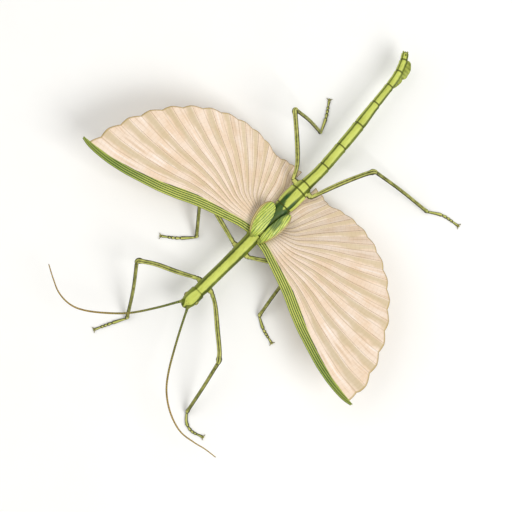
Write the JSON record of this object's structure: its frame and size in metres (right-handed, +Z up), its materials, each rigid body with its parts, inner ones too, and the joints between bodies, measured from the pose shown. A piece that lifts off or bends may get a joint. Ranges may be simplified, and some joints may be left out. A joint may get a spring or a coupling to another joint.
{
  "type": "giant stick insect",
  "caption": "Life-size giant winged stick insect: a long twig-like body on thin legs, with long feelers and both pleated hind wings spread. A still display model.",
  "frame": {"origin": "middle of the footprint's bounding box, at floor level, under the feet", "axes": "+Z up, +Y along the body towards the tail, so the head points to -Y; +X is the insect's left"},
  "size_m": [0.2254, 0.2622, 0.0403],
  "materials": {
    "body_cuticle": "satin light green cuticle, olive at the sides, with fine wrinkles",
    "leg_cuticle": "satin olive cuticle with fine grooves along its length",
    "foot_cuticle": "dull brown-olive cuticle",
    "antenna_cuticle": "dull olive-brown cuticle in many short rings",
    "compound_eye": "glossy dark brown-olive facets",
    "wing_band": "leathery green wing band with raised lighter veins",
    "wing_membrane": "thin satin cream-pink membrane with darker veins",
    "forewing_leather": "leathery bright green with raised veins"
  },
  "bodies": {
    "root": {"abdomen_1": "body_cuticle", "abdomen_10": "body_cuticle", "abdomen_2": "body_cuticle", "abdomen_3": "body_cuticle", "abdomen_4": "body_cuticle", "abdomen_5": "body_cuticle", "abdomen_6": "body_cuticle", "abdomen_7": "body_cuticle", "abdomen_8": "body_cuticle", "abdomen_9": "body_cuticle", "antenna_left_base": "antenna_cuticle", "antenna_left_middle": "antenna_cuticle", "antenna_left_tip": "antenna_cuticle", "antenna_right_base": "antenna_cuticle", "antenna_right_middle": "antenna_cuticle", "antenna_right_tip": "antenna_cuticle", "cercus_left": "body_cuticle", "cercus_right": "body_cuticle", "eye_left": "compound_eye", "eye_right": "compound_eye", "fore_left_coxa": "leg_cuticle", "fore_left_femur": "leg_cuticle", "fore_left_tarsus": "foot_cuticle", "fore_left_tibia": "leg_cuticle", "fore_right_coxa": "leg_cuticle", "fore_right_femur": "leg_cuticle", "fore_right_tarsus": "foot_cuticle", "fore_right_tibia": "leg_cuticle", "head": "body_cuticle", "hind_left_coxa": "leg_cuticle", "hind_left_femur": "leg_cuticle", "hind_left_tarsus": "foot_cuticle", "hind_left_tibia": "leg_cuticle", "hind_right_coxa": "leg_cuticle", "hind_right_femur": "leg_cuticle", "hind_right_tarsus": "foot_cuticle", "hind_right_tibia": "leg_cuticle", "hindwing_left_fan": "wing_membrane", "hindwing_left_front_band": "wing_band", "hindwing_right_fan": "wing_membrane", "hindwing_right_front_band": "wing_band", "mesothorax": "body_cuticle", "metathorax": "body_cuticle", "mid_left_coxa": "leg_cuticle", "mid_left_femur": "leg_cuticle", "mid_left_tarsus": "foot_cuticle", "mid_left_tibia": "leg_cuticle", "mid_right_coxa": "leg_cuticle", "mid_right_femur": "leg_cuticle", "mid_right_tarsus": "foot_cuticle", "mid_right_tibia": "leg_cuticle", "mouthparts": "leg_cuticle", "operculum": "body_cuticle", "palp_left": "leg_cuticle", "palp_right": "leg_cuticle", "prothorax": "body_cuticle", "tegmen_left": "forewing_leather", "tegmen_right": "forewing_leather"}
  },
  "joints": []
}
